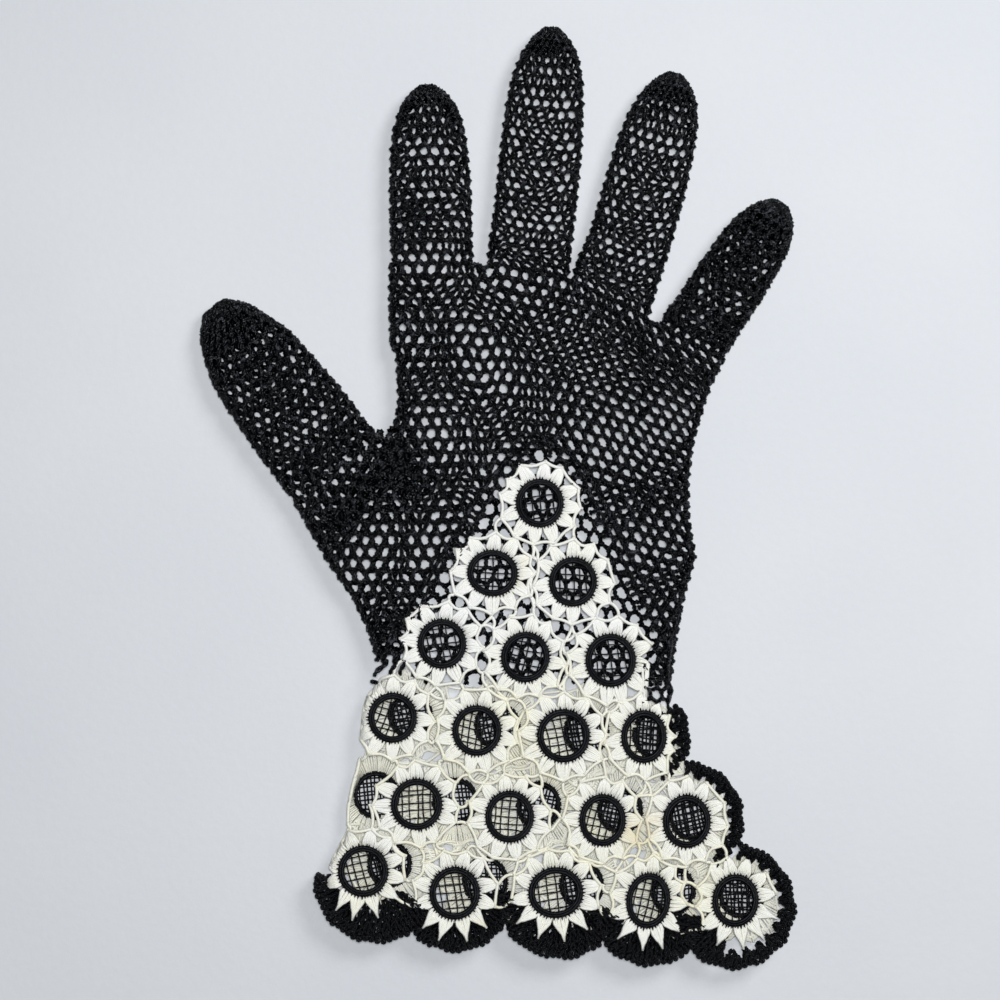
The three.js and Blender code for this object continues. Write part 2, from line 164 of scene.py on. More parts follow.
class Yarn:
    """Collects closed lengths of thread and makes one mesh of them."""

    def __init__(self):
        self.places = []
        self.faces = []
        self.marks = []
        self.count = 0

    def lay(self, paths, radius, sides=3, closed=False, flat=1.0, ups=UP):
        """Tubes along paths (threads, points, 3). flat squeezes them along ups."""
        threads, points = paths.shape[:2]
        radius = np.broadcast_to(np.asarray(radius, float), (threads, points))
        ups, aside = thread_frame(paths, ups, closed)
        turn = np.arange(sides) * FULL_TURN / sides
        reach = radius[..., None, None]
        ring = paths[:, :, None] + reach * flat * np.cos(turn)[:, None] * ups[:, :, None]
        ring = ring + reach * np.sin(turn)[:, None] * aside[:, :, None]
        steps = points if closed else points - 1
        thread = self.count + np.arange(threads)[:, None, None] * points * sides
        step = np.arange(steps)[None, :, None]
        following = (step + 1) % points
        side = np.arange(sides)[None, None, :]
        beside = (side + 1) % sides
        quads = np.stack(
            [
                thread + step * sides + side,
                thread + step * sides + beside,
                thread + following * sides + beside,
                thread + following * sides + side,
            ],
            axis=-1,
        ).reshape(-1, 4)
        hops = np.linalg.norm(np.diff(paths, axis=1), axis=-1)
        gone = np.concatenate([np.zeros((threads, 1)), np.cumsum(hops, axis=1)], axis=1)
        if closed:
            last = hops.mean(axis=1, keepdims=True)
            gone = np.concatenate([gone, gone[:, -1:] + last], axis=1)
        shape = (threads, steps, sides)
        here = np.broadcast_to(gone[:, :steps, None], shape)
        there = np.broadcast_to(gone[:, 1 : steps + 1, None], shape)
        start = np.broadcast_to(side / sides, shape)
        end = np.broadcast_to((side + 1) / sides, shape)
        corners = (here, start), (here, end), (there, end), (there, start)
        marks = np.stack([np.stack(pair, axis=-1) for pair in corners], axis=-2)
        self.places.append(ring.reshape(-1, 3))
        self.faces.append(quads)
        self.marks.append(marks.reshape(-1, 4, 2))
        self.count += threads * points * sides
        if not closed:
            heads = thread[:, 0] + np.arange(sides)[::-1]
            tails = thread[:, 0] + (points - 1) * sides + np.arange(sides)
            caps = np.concatenate([heads, tails])
            self.faces.append(caps)
            self.marks.append(np.zeros(caps.shape + (2,)))

    def twist(self, paths, radius, offset, turns, sides=3, ups=UP):
        """Each path as two plies wound round it."""
        threads, points = paths.shape[:2]
        offset = np.broadcast_to(np.asarray(offset, float), (threads, points))[..., None]
        ups, aside = thread_frame(paths, ups, False)
        share = np.linspace(0, 1, points)
        start = chance.uniform(0, 1, (threads, 1))
        for ply in (0.0, 0.5):
            turn = (FULL_TURN * (share * turns + start + ply))[..., None]
            wound = paths + offset * (np.cos(turn) * ups + np.sin(turn) * aside)
            self.lay(wound, radius, sides, ups=ups)

    def piece(self, name, slot, nodes, finish):
        """One mesh of everything laid so far, riding on the glove in place of the nodes."""
        places = np.concatenate(self.places) * MM
        corners = np.concatenate([faces.ravel() for faces in self.faces])
        sizes = np.concatenate([np.full(len(faces), faces.shape[1]) for faces in self.faces])
        marks = np.concatenate([marks.reshape(-1, 2) for marks in self.marks])
        mesh = bpy.data.meshes.new(name)
        mesh.vertices.add(len(places))
        mesh.vertices.foreach_set("co", places.ravel())
        mesh.loops.add(len(corners))
        mesh.loops.foreach_set("vertex_index", corners)
        mesh.polygons.add(len(sizes))
        mesh.polygons.foreach_set("loop_start", np.concatenate([[0], np.cumsum(sizes)[:-1]]))
        mesh.polygons.foreach_set("use_smooth", np.ones(len(sizes), bool))
        mesh.uv_layers.new(name="thread").data.foreach_set("uv", marks.ravel())
        mesh.update(calc_edges=True)
        mesh.materials.append(finish)
        made = put(name, mesh)
        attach(made, "root")
        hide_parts(*nodes)


# Finishes

class Mask:
    """A number from a node of a finish, which Python's operators work on."""

    def __init__(self, finish, socket):
        self.finish = finish
        self.socket = socket

    def _with(self, operation, *values):
        return self.finish.node("ShaderNodeMath", {"operation": operation}, values)

    def __add__(self, other):
        return self._with("ADD", self, other)

    __radd__ = __add__

    def __mul__(self, other):
        return self._with("MULTIPLY", self, other)

    __rmul__ = __mul__

    def __sub__(self, other):
        return self._with("SUBTRACT", self, other)

    def __rsub__(self, other):
        return self._with("SUBTRACT", other, self)

    def wave(self):
        return self._with("SINE", self)


class Finish:
    """A material made of nodes."""

    def __init__(self, name):
        self.material = bpy.data.materials.new(name)
        self.material.use_nodes = True
        self.tree = self.material.node_tree
        self.surface = self.tree.nodes["Principled BSDF"]

    def node(self, kind, settings=None, values=None, output=0):
        made = self.tree.nodes.new(kind)
        for name, setting in (settings or {}).items():
            if name == "stops":
                self._stops(made.color_ramp, setting)
            else:
                setattr(made, name, setting)
        named = values.items() if isinstance(values, dict) else enumerate(values or ())
        for name, value in named:
            self._feed(made.inputs[name], value)
        return Mask(self, made.outputs[output])

    def _stops(self, ramp, stops):
        while len(ramp.elements) < len(stops):
            ramp.elements.new(0.5)
        for element, (place, colour) in zip(ramp.elements, stops):
            element.position = place
            element.color = (*colour, 1)

    def _feed(self, socket, value):
        if isinstance(value, Mask):
            self.tree.links.new(value.socket, socket)
        else:
            socket.default_value = value

    def shade(self, **values):
        for name, value in values.items():
            self._feed(self.surface.inputs[name.replace("_", " ")], value)
        return self.material

    def noise(self, scale, detail=2.0, output=0):
        """Soft mottling over the object, with its scale in patches a metre."""
        place = self.node("ShaderNodeTexCoord", output=3)
        values = {"Vector": place, "Scale": scale, "Detail": detail}
        return self.node("ShaderNodeTexNoise", values=values, output=output)

    def ramp(self, mask, *stops):
        return self.node("ShaderNodeValToRGB", {"stops": stops}, {"Fac": mask})

    def blend(self, mask, first, second):
        """One colour over another where the mask is high."""
        values = {0: mask, 6: first, 7: second}
        return self.node("ShaderNodeMix", {"data_type": "RGBA"}, values, output=2)

    def along(self):
        """How far along its thread a point is, in millimetres, and its share of the way round."""
        marks = self.node("ShaderNodeUVMap", {"uv_map": "thread"})
        return [self.node("ShaderNodeSeparateXYZ", values=[marks], output=part) for part in (0, 1)]

    def bump(self, height, depth):
        values = {"Height": height, "Distance": depth * MM, "Strength": 1.0}
        return self.node("ShaderNodeBump", values=values)


def thread_relief(finish, pitch, fuzz):
    """Fine ridges that wind round a thread, pitch millimetres apart, with a little fuzz."""
    length, share = finish.along()
    ridges = (length * (FULL_TURN / pitch) + share * FULL_TURN).wave()
    return ridges * 0.5 + finish.noise(fuzz, 3.0) * 0.9


def rgba(red, green, blue):
    return (red, green, blue, 1.0)


def black_sheen(finish, colour, roughness, specular, normal, tint=rgba(0.88, 0.92, 1.0)):
    return finish.shade(
        Base_Color=colour,
        Roughness=roughness,
        Specular_IOR_Level=specular,
        Specular_Tint=tint,
        Normal=normal,
    )


def black_cotton():
    """Mercerised black cotton: deep black, dustier in patches, with small grey glints that are
    partly painted highlights in its colour.
    """
    finish = Finish("black_cotton")
    patches = finish.noise(38.0, 3.0)
    fibre = finish.noise(1500.0)
    depth = patches * 0.5 + fibre * 0.5
    colour = finish.ramp(depth, (0.35, (0.0002, 0.0003, 0.0005)), (0.7, (0.0014, 0.0016, 0.0026)))
    # Painted highlights: grey flecks blended into the colour where a fine noise is high, standing
    # in for glints on the plies.
    painted_glints = finish.ramp(finish.noise(620.0), (0.59, (0, 0, 0)), (0.68, (1, 1, 1)))
    colour = finish.blend(painted_glints, colour, rgba(0.045, 0.047, 0.056))
    normal = finish.bump(thread_relief(finish, 0.5, 2200.0), 0.10)
    tint = rgba(0.86, 0.92, 1.0)
    return black_sheen(finish, colour, 0.14 + fibre * 0.20, 0.24, normal, tint)


def ring_satin():
    """Satin stitch over a padding cord: close ridges straight round it, softly shining."""
    finish = Finish("ring_satin")
    fibre = finish.noise(900.0)
    length, _ = finish.along()
    ridges = (length * (FULL_TURN / 0.36)).wave()
    colour = finish.ramp(fibre, (0.3, (0.0005, 0.0005, 0.0010)), (0.75, (0.0020, 0.0021, 0.0034)))
    normal = finish.bump(ridges * 0.5 + fibre * 0.6, 0.06)
    return black_sheen(finish, colour, 0.24 + fibre * 0.18, 0.24, normal)


def edging_cotton():
    """The border's duller, deeper black cotton."""
    finish = Finish("edging_cotton")
    fibre = finish.noise(1400.0)
    colour = finish.ramp(fibre, (0.3, (0.0005, 0.0006, 0.0010)), (0.75, (0.0028, 0.0030, 0.0042)))
    normal = finish.bump(thread_relief(finish, 0.45, 2200.0), 0.09)
    return black_sheen(finish, colour, 0.36 + fibre * 0.2, 0.22, normal)


def ivory_cotton(name, years, yellowing):
    """Soft ivory cotton with a few faint stains, yellowed in patches and most down the cuff."""
    finish = Finish(name)
    place = finish.node("ShaderNodeTexCoord", output=3)
    height = finish.node("ShaderNodeSeparateXYZ", values=[place], output=1)
    values = {"Value": height, "From Min": -0.035, "From Max": -0.066, "To Max": yellowing}
    down = finish.node("ShaderNodeMapRange", {"interpolation_type": "SMOOTHSTEP"}, values)
    age = down + finish.noise(55.0, 3.0) * 0.75 + (years - 0.28)
    colour = finish.ramp(
        age,
        (0.0, (0.90, 0.905, 0.89)),
        (0.35, (0.895, 0.895, 0.815)),
        (0.62, (0.90, 0.88, 0.71)),
        (1.0, (0.80, 0.755, 0.50)),
    )
    marks = finish.ramp(finish.noise(28.0, 4.0), (0.66, (0, 0, 0)), (0.8, (1, 1, 1)))
    colour = finish.blend(marks, colour, rgba(0.80, 0.69, 0.44))
    fibre = finish.noise(1600.0)
    return finish.shade(
        Base_Color=colour,
        Roughness=0.68 + fibre * 0.2,
        Specular_IOR_Level=0.35,
        Subsurface_Weight=0.12,
        Subsurface_Radius=(0.002, 0.0017, 0.0012),
        Sheen_Weight=0.15,
        Sheen_Roughness=0.5,
        Sheen_Tint=rgba(1, 0.98, 0.92),
        Normal=finish.bump(thread_relief(finish, 0.38, 2400.0), 0.07),
    )


def table_finish():
    finish = Finish("table_card")
    clouds = finish.noise(9.0, 4.0)
    tooth = finish.noise(420.0, 3.0)
    colour = finish.ramp(
        clouds * 0.8 + tooth * 0.2, (0.3, (0.645, 0.672, 0.712)), (0.7, (0.700, 0.722, 0.755))
    )
    return finish.shade(
        Base_Color=colour,
        Roughness=0.85,
        Specular_IOR_Level=0.2,
        Normal=finish.bump(tooth, 0.08),
    )


# The black net

def stadium(share, half, thick):
    """A point and its outward normal on a flattened tube's section.

    share runs from the left fold over the front to the right fold and back underneath."""
    radius = np.minimum(thick / 2, half)
    straight = half - radius
    bend = FULL_TURN / 4 * radius
    total = 4 * straight + 4 * bend
    gone = (share % 1.0) * total
    under = gone > total / 2
    gone = np.where(under, total - gone, gone)
    left = gone < bend
    right = gone > bend + 2 * straight
    turn = np.where(left, gone / radius, (total / 2 - gone) / radius)
    over = np.where(left | right, np.sin(turn), 1.0)
    out = np.where(left, -np.cos(turn), np.where(right, np.cos(turn), 0.0))
    x = np.where(left, -straight, np.where(right, straight, gone - bend - straight)) + radius * out
    flip = np.where(under, -1.0, 1.0)
    return x, flip * radius * over, out, flip * over


def perimeter(half, thick):
    radius = min(thick / 2, half)
    return 4 * (half - radius) + FULL_TURN * radius


class Tube:
    """A finger's tube, whose edges and depth come from its solid."""

    STATIONS = 40

    def __init__(self, node, lean, hand):
        lean = math.radians(lean)
        self.along = np.array([math.sin(lean), math.cos(lean), 0])
        self.across = np.array([math.cos(lean), -math.sin(lean), 0])
        self.low, self.high = span(node, self.along)
        self.stations = np.linspace(self.low + 0.2, self.high - 0.25, self.STATIONS)
        self.sides = slices(node, self.along, self.across, self.stations)
        self.depth = slices(node, self.along, (0, 0, 1), self.stations)
        self.length = self.high - self.low
        middle = self.STATIONS // 2
        self.girth = perimeter(np.ptp(self.sides[middle]) / 2, np.ptp(self.depth[middle]))
        self.drift = 1 if stray(1) > 0 else -1
        self.foot_across = np.linspace(self.sides[5, 0], self.sides[5, 1], 7)
        self.foot = np.zeros(7)
        if node != "thumb":
            aside = self.foot_across[:, None] * self.across
            for _ in range(40):
                foot = (self.low + self.foot)[:, None] * self.along + aside
                self.foot += 0.5 * (hand.crown(foot[:, 0]) - foot[:, 1])

    def place(self, share, level):
        """Points and normals at shares round the tube, and levels in millimetres from its root."""
        under = np.clip(-np.sin(FULL_TURN * share), 0, 1)
        sway = self.drift * UNDER_SWAY * np.sin(level / 22)
        level = np.clip(level + under * sway, -3.0, self.length - 0.35)
        station = self.low + np.maximum(level, 7.0)
        left = np.interp(station, self.stations, self.sides[:, 0]) + PLY_RADIUS
        right = np.interp(station, self.stations, self.sides[:, 1]) - PLY_RADIUS
        bottom = np.interp(station, self.stations, self.depth[:, 0]) + NET_CLEAR
        top = np.interp(station, self.stations, self.depth[:, 1]) - NET_CLEAR
        half = np.maximum((right - left) / 2, 0.3)
        x, z, out, over = stadium(share, half, np.maximum(top - bottom, 0.5))
        x = (left + right) / 2 + x
        lift = np.interp(x, self.foot_across, self.foot) * np.clip(1 - level / 25, 0, 1)
        points = (self.low + level + lift)[..., None] * self.along + x[..., None] * self.across
        points[..., 2] = (top + bottom) / 2 + z
        normals = out[..., None] * self.across + over[..., None] * UP
        return points, normals


THUMB_JOIN_SLOPE = 0.9  # millimetres aside for each one up


class Hand:
    """The two layers of the hand, whose edges come from its solid.

    Rows of meshes run level at the wrist and follow the finger roots at the top."""

    def __init__(self, node, wrist):
        high = span(node, (0, 1, 0))[1]
        bottom, top = span(node, (0, 0, 1))
        self.wrist = wrist
        self.levels = np.linspace(wrist, high - 0.4, 120)
        sides = edges_at(node, self.levels)
        self.left, self.right = sides[:, 0] + PLY_RADIUS, sides[:, 1] - PLY_RADIUS
        # Above the outer corners the hand runs on into the fingers and has no folds
        self.left[self.levels > high - 2] = self.left[self.levels < high - 2][-1]
        widest = np.argmax(self.right)
        self.right[widest:] = self.right[widest]
        self.middle = (bottom + top) / 2
        self.radius = (top - bottom) / 2 - NET_CLEAR
        stations = np.linspace(self.left.min() + 0.3, self.right.max() - 0.3, 120)
        tops = slices(node, (1, 0, 0), (0, 1, 0), stations)[:, 1]
        # The thumb joins where the left edge runs aside faster than it climbs
        slope = np.gradient(self.left, self.levels)
        self.join = slope > THUMB_JOIN_SLOPE
        fingers = stations > self.left[-1]
        self.crown_stations = stations[fingers]
        tops = np.pad(tops[fingers], 2, mode="edge")
        self.crown_tops = np.convolve(tops, np.full(5, 1 / 5), "valid")

    def crown(self, x):
        """How high the top row of meshes lies at x."""
        return np.interp(x, self.crown_stations, self.crown_tops)

    def folds(self, y):
        """Where the left and the right fold lie at y."""
        return np.interp(y, self.levels, self.left), np.interp(y, self.levels, self.right)

    def place(self, x, level, front):
        """Points and normals of a layer at x and a level from 0, the wrist, to 1, the roots."""
        y = self.wrist + level * (self.crown(x) - self.wrist)
        left, right = self.folds(y)
        over_left = np.maximum(left + self.radius - x, 0) / self.radius
        over_right = np.maximum(x - right + self.radius, 0) / self.radius
        joined = np.interp(y, self.levels, self.join.astype(float)) > 0.5
        over_left = np.where(joined, 0, over_left)
        turn = np.minimum(np.maximum(over_left, over_right), FULL_TURN / 4)
        side = np.where(over_left > 0, -1.0, 1.0)
        edge = np.where(over_left > 0, left + self.radius, right - self.radius)
        flip = 1.0 if front else -1.0
        bent = np.where(turn > 0, edge + side * self.radius * np.sin(turn), x)
        z = self.middle + flip * self.radius * np.cos(turn)
        points = points_at(bent, y, z)
        normals = points_at(side * np.sin(turn), 0.0, flip * np.cos(turn))
        past = np.where(joined, left + 0.2 - x, (over_left - 1.5) * self.radius)
        past = np.maximum(past, (over_right - 1.5) * self.radius)
        return points, normals, past < 0


# Where the net is worked closer, as the middle, reach and strength of each place
CLOSE_WORK = (
    (-31.0, 14.0, 9.0, 0.5),
    (-38.0, 2.0, 11.0, 0.45),
    (-24.0, 6.0, 9.0, 0.34),
    (-41.0, -26.0, 8.0, 0.12),
    (-46.0, -8.0, 10.0, 0.35),
    (-28.0, 48.0, 9.0, 0.30),
    (-29.0, 78.0, 10.0, 0.35),
    (-36.0, -38.0, 9.0, 0.26),
    (50.0, -38.0, 7.0, 0.30),
    (-31.0, -43.0, 6.0, 0.35),
    (-22.0, 32.0, 11.0, 0.18),
    (45.0, -6.0, 12.0, 0.10),
)


def closeness(points):
    """How much thicker the strands are where the net is worked closer."""
    close = np.zeros(points.shape[:-1])
    for x, y, reach, strength in CLOSE_WORK:
        away = np.hypot(points[..., 0] - x, points[..., 1] - y)
        close = close + strength * np.exp(-((away / reach) ** 2))
    return 1 + close


def net_strands(levels, meshes, open_foot=False):
    """The three strands of every mesh of a net, as shares round it and levels up it.

    Each row of meshes is a zigzag of two strands a mesh, and a post rises from each of its peaks.
    With an open foot the first row has its posts alone."""
    rows = len(levels)
    column = np.arange(meshes)
    odd = np.arange(rows)[:, None] % 2
    jitter = chance.normal(0, NODE_JITTER, (2, 2, rows, meshes))
    middle, height = levels[:, None], np.gradient(levels)[:, None] / 6
    nodes = []
    for ahead, way, (aside, up) in zip((0.0, 0.5), (-1, 1), jitter):
        around = (column + ahead + 0.5 * odd + aside) / meshes
        nodes.append(np.stack([around, middle + way * height + up * 3 * height]))
    foot, peak = nodes
    after = np.roll(foot, -1, axis=2)
    after[0, :, -1] += 1.0
    above = np.where(odd[:-1] == 1, after[:, 1:], foot[:, 1:])
    first = int(open_foot)
    starts = foot[:, first:], peak[:, first:], peak[:, :-1]
    ends = peak[:, first:], after[:, first:], above
    starts, ends = (
        np.concatenate([part.reshape(2, -1) for part in parts], axis=1)[..., None]
        for parts in (starts, ends)
    )
    return starts + (ends - starts) * np.linspace(-0.1, 1.1, 5)


KNOT_SWELL = np.array([1.22, 1.0, 0.92, 1.0, 1.22])  # a strand's thickness from knot to knot


def work_net(yarn, points, normals, close=1.0):
    """Lays the strands of a net, thicker where it is worked closer, and all above the table."""
    thick = closeness(points) * KNOT_SWELL * close
    lowest = (PLY_RADIUS + PLY_OFFSET) * thick + 0.08
    points[..., 2] = np.maximum(points[..., 2], lowest)
    yarn.twist(points, PLY_RADIUS * thick, PLY_OFFSET * thick, 1.1, ups=normals)


def hand_layer(hand, front, keep):
    """One layer of the hand's net, as paths with their normals."""
    slack = FULL_TURN / 4 * hand.radius - hand.radius
    first, last = hand.left.min() - slack, hand.right.max() + slack
    rows = HAND_ROWS if front else PALM_ROWS
    meshes = round((last - first) / (NET_HOLE if front else PALM_HOLE))
    around, level = net_strands(np.linspace(0.0, 1.0, rows), meshes)
    x = first + around * (last - first)
    if not front:
        x = x + 1.5 * np.sin(level * 5 + 1) - 1.1 + 1.7 * np.sin(x / 23 + 1.3)
        level = level + 0.016 * np.sin(x / 17) * np.sin(level * FULL_TURN / 2)
    points, normals, inside = hand.place(x, level, front)
    level_in = (level.min(axis=1) > -0.02) & (level.max(axis=1) < 1.03)
    whole = (around.max(axis=1) - around.min(axis=1)) < 0.5
    kept = inside[:, 2] & level_in & whole & keep(points[:, 2])
    return points[kept], normals[kept]


# Each finger's lean in degrees, how close its net is, and the length of its close tip
FINGERS = {
    "thumb": (-37.4, 1.24, 24.0),
    "index_finger": (-2.1, 0.99, 15.0),
    "middle_finger": (4.9, 0.89, 10.0),
    "ring_finger": (14.9, 0.93, 12.0),
    "little_finger": (32.7, 1.24, 22.0),
}


TIP_START = 5.5  # the last even row of a finger lies this far from its end
TIP_ROWS = np.array([2.0, 3.5, 4.5, 5.1])  # and the closer ones lie these steps past it


def finger_net(node, hand, lean, close, tip_length, finish):
    """The net round one finger, and the strands down its two folds."""
    tube = Tube(node, lean, hand)
    yarn = Yarn()
    rows = round((tube.length - 4) / NET_ROW)
    body = np.linspace(-1.2 if node == "thumb" else 0.1, tube.length - TIP_START, rows)
    tip = tube.length - TIP_START + TIP_ROWS
    meshes = round(tube.girth / NET_HOLE)
    around, level = net_strands(np.concatenate([body, tip]), meshes, open_foot=True)
    points, normals = tube.place(around + level * NET_SPIRAL, level)
    nearness = np.clip(1 + (level - tube.length) / tip_length, 0, 1)
    work_net(yarn, points, normals, close + 0.42 * nearness)
    level = np.arange(1.0, tube.length - 5.0, 0.7)
    for share in (0.0, 0.5):
        edge, normal = tube.place(np.full_like(level, share), level)
        knobs = 0.55 * np.sin(level * FULL_TURN / NET_ROW + share * 5) + 0.05
        edge = edge + normal * knobs[:, None]
        yarn.twist(edge[None], PLY_RADIUS, PLY_OFFSET, len(level) * 0.18)
    yarn.piece(f"{node}_net", "black_crochet", [node], finish)


WRIST_OVERLAP = 4.5  # how far below the wrist the hand's net begins
WRIST_LEFT = -46.6  # the front's net ends here on the thumb's side
PALM_END = -53.5

# Single cords that run on from the net to the lace: their two ends, and how thick they are
WRIST_CORDS = (
    ((-31.4, -46.0), (-35.2, -50.9), 1.2),
    ((-29.0, -46.0), (-30.5, -50.6), 1.0),
    ((-26.9, -46.0), (-27.6, -50.6), 1.0),
    ((-36.3, -52.3), (-34.2, -52.6), 1.2),
    ((48.9, -53.0), (48.6, -60.5), 1.0),
)

WRIST_CORD_HEIGHT = 6.7
POINT_CHAIN_HEIGHT = 6.75
CORD_RADIUS = 0.42
POINT_GROWTH = 2.3  # from the lace point's edge out to the chain that outlines it
POINT_COVER = 2.5  # how far the net runs in under the point
PETAL_COVER = 10.4  # the net runs in under the petals as near to a ring as this


def point_outline():
    """The lace point's outline, from the wrist on the thumb's side over its tip and down again."""
    top = span("lace_cuff", (0, 1, 0))[1]
    levels = np.linspace(WRIST + 1.5, top - 1.2, 40)
    sides = edges_at("lace_cuff", levels)
    left = np.stack([sides[:, 0], levels], axis=-1)
    right = np.stack([sides[:, 1], levels], axis=-1)[::-1]
    tip = [[(left[-1, 0] + right[0, 0]) / 2, top]]
    return np.concatenate([left, tip, right])


def grown(line, reach):
    """A line moved aside to its left, and smoothed."""
    ahead = unit(np.gradient(line, axis=0))
    moved = line + reach * np.stack([-ahead[:, 1], ahead[:, 0]], axis=-1)
    for _ in range(6):
        moved[1:-1] = (moved[:-2] + 2 * moved[1:-1] + moved[2:]) / 4
    gone = np.concatenate([[0], np.cumsum(np.linalg.norm(np.diff(moved, axis=0), axis=-1))])
    steps = np.linspace(0, gone[-1], int(gone[-1] / 0.7))
    return np.stack([np.interp(steps, gone, moved[:, axis]) for axis in (0, 1)], axis=-1)


def hand_net(hand, finish):
    """The hand's two layers and the stitches along its edges. The front leaves the point free."""
    outline = point_outline()
    top = outline[:, 1].max()
    levels = np.linspace(WRIST, top, 60)
    sides = edges_at("lace_cuff", levels)
    rings = [middle_of(node)[:2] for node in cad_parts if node.startswith("ring_point")]

    def clear_of_point(places):
        left = np.interp(places[:, 1], levels, sides[:, 0]) + POINT_COVER
        right = np.interp(places[:, 1], levels, sides[:, 1]) - POINT_COVER
        right = np.where(places[:, 1] < -46, np.minimum(right, 42.0), right)
        clear = (places[:, 0] < left) | (places[:, 0] > right) | (places[:, 1] > top - 1)
        clear = clear & ((places[:, 0] > 0) | (places[:, 1] > WRIST_LEFT - 0.6))
        for ring in rings:
            clear = clear & (np.linalg.norm(places[:, :2] - ring, axis=-1) > PETAL_COVER)
        return clear

    def clear_of_cuff(places):
        return places[:, 1] > np.where(places[:, 0] < -24, WRIST_LEFT, PALM_END)

    palm, back = Yarn(), Yarn()
    work_net(back, *hand_layer(hand, True, clear_of_point), 1.08)
    edge_cords(back, hand)
    line = grown(outline, POINT_GROWTH)
    line = line[(line[:, 0] > 0) | (line[:, 1] > WRIST_LEFT)]
    left, right = hand.folds(line[:, 1])
    line[:, 0] = np.clip(line[:, 0], left + 0.9, right - 0.9)
    chain = points_at(*line.T, POINT_CHAIN_HEIGHT)[None]
    back.twist(chain, CORD_RADIUS, 0.36, len(line) * 0.3, sides=4)
    for start, end, swell in WRIST_CORDS:
        share = np.linspace(0, 1, 9)[:, None]
        line = np.array(start) + (np.array(end) - np.array(start)) * share
        line[:, 0] += 0.45 * np.sin(share[:, 0] * FULL_TURN)
        cord = points_at(*line.T, WRIST_CORD_HEIGHT)[None]
        swell = swell * (0.62 + 0.38 * np.sin(share.T * FULL_TURN / 2))
        back.twist(cord, CORD_RADIUS * swell, 0.3 * swell, 1.4, sides=4)
    work_net(palm, *hand_layer(hand, False, clear_of_cuff), 1.12)
    back.piece("back_of_hand_net", "black_crochet", ["hand"], finish)
    palm.piece("palm_net", "black_crochet", ["hand"], finish)


def edge_cords(yarn, hand):
    """The strands that run down the two folds of the hand."""
    for edge, side in ((hand.left, -1.0), (hand.right, 1.0)):
        free = ~hand.join if side < 0 else np.ones(len(edge), bool)
        runs = np.split(np.arange(len(edge)), np.flatnonzero(np.diff(free.astype(int))) + 1)
        for run in runs:
            if not free[run[0]] or len(run) < 4:
                continue
            lowest = max(hand.levels[run[0]], WRIST_LEFT if side < 0 else -50.0)
            y = np.linspace(lowest, hand.levels[run[-1]], len(run) * 4)
            knobs = 0.5 * np.sin(y * FULL_TURN / NET_ROW) + 0.1
            x = np.interp(y, hand.levels, edge) + side * knobs
            z = hand.middle + 0.5 * np.sin(y * 1.3)
            path = points_at(x, y, z)[None]
            yarn.twist(path, PLY_RADIUS * 1.1, PLY_OFFSET * 1.1, len(y) * 0.16, sides=4)


# Lace

# How high each layer lies, and how long the chains from a tip to its three neighbours may be
FRONT_LACE = 6.5, (6.4, 4.6, 2.6)
BACK_LACE = 1.0, (8.0, 7.0, 6.0)

# The rosettes along the hem, and the way their long pointed petals face, in degrees
HEM_WAYS = {
    "ring_front_9": -100,
    "ring_front_10": -85,
    "ring_front_11": -95,
    "ring_front_12": -90,
    "ring_front_13": -55,
}
HEM_POINT = 1.3  # how much longer than the others those petals are
BACK_POINT = 1.1  # how much longer the back's petals are, which lie pulled flat

# How wide and how tall each of the front's rings is pulled, in the order of their numbers
RING_PULLS = {
    "ring_point": (
        (0.96, 0.98), (1.02, 0.93), (0.96, 1.00), (0.98, 1.00), (0.98, 1.02), (1.02, 1.08),
    ),
    "ring_front": (
        (0.98, 1.01), (0.99, 1.02), (1.07, 1.08), (0.91, 1.07), (1.04, 1.04), (0.98, 1.05),
        (0.93, 1.05), (0.96, 1.08), (1.02, 1.04), (1.02, 1.07), (1.12, 1.03), (0.88, 1.13),
        (0.93, 1.07),
    ),
}


class Ring:
    """A padded ring: its middle, the way it faces, and how it is pulled and turned."""

    def __init__(self, node):
        self.middle = middle_of(node)
        self.face = -1.0 if "back" in node else 1.0
        self.wide, self.tall = chance.uniform(0.95, 1.02), chance.uniform(1.0, 1.08)
        row, number = node.rsplit("_", 1)
        if row in RING_PULLS:
            self.wide, self.tall = RING_PULLS[row][int(number) - 1]
        self.turn = stray(0.15)
        self.hem = math.radians(HEM_WAYS.get(node, 0))

    def around(self, radius, angle, height=0.0):
        """Points at a radius and angle round the ring, pulled and turned as it is."""
        pulled = np.minimum(radius, SPIKE_TIP)
        x = (radius + pulled * (self.wide - 1)) * np.cos(angle)
        y = (radius + pulled * (self.tall - 1)) * np.sin(angle)
        cos, sin = math.cos(self.turn), math.sin(self.turn)
        left, low = self.middle[:2]
        return points_at(left + x * cos - y * sin, low + x * sin + y * cos, height)


class Fold:
    """The cuff's fold on the thumb's side, round which the lace passes from front to back."""

    MIDDLE = 3.6  # how high it lies
    RADIUS = 2.9

    def __init__(self):
        self.levels = np.linspace(middle_of("ring_front_9")[1], WRIST, 40)
        self.left = edges_at("lace_cuff", self.levels)[:, 0]

    def wrap(self, points, face):
        """Bends points that pass the fold round it. They come in flat, at their own height."""
        x, y, z = points[..., 0], points[..., 1], points[..., 2]
        centre = np.interp(y, self.levels, self.left) + self.RADIUS + 0.4
        centre = np.where(y > WRIST + 3, -1e3, centre)
        past = np.maximum(centre - x, 0)
        reach = np.abs(z - self.MIDDLE)
        turn = np.minimum(past / reach, 1.75)
        bent_x = np.where(past > 0, centre - reach * np.sin(turn), x)
        bent_z = np.where(past > 0, self.MIDDLE + face * reach * np.cos(turn), z)
        return points_at(bent_x, y, bent_z)


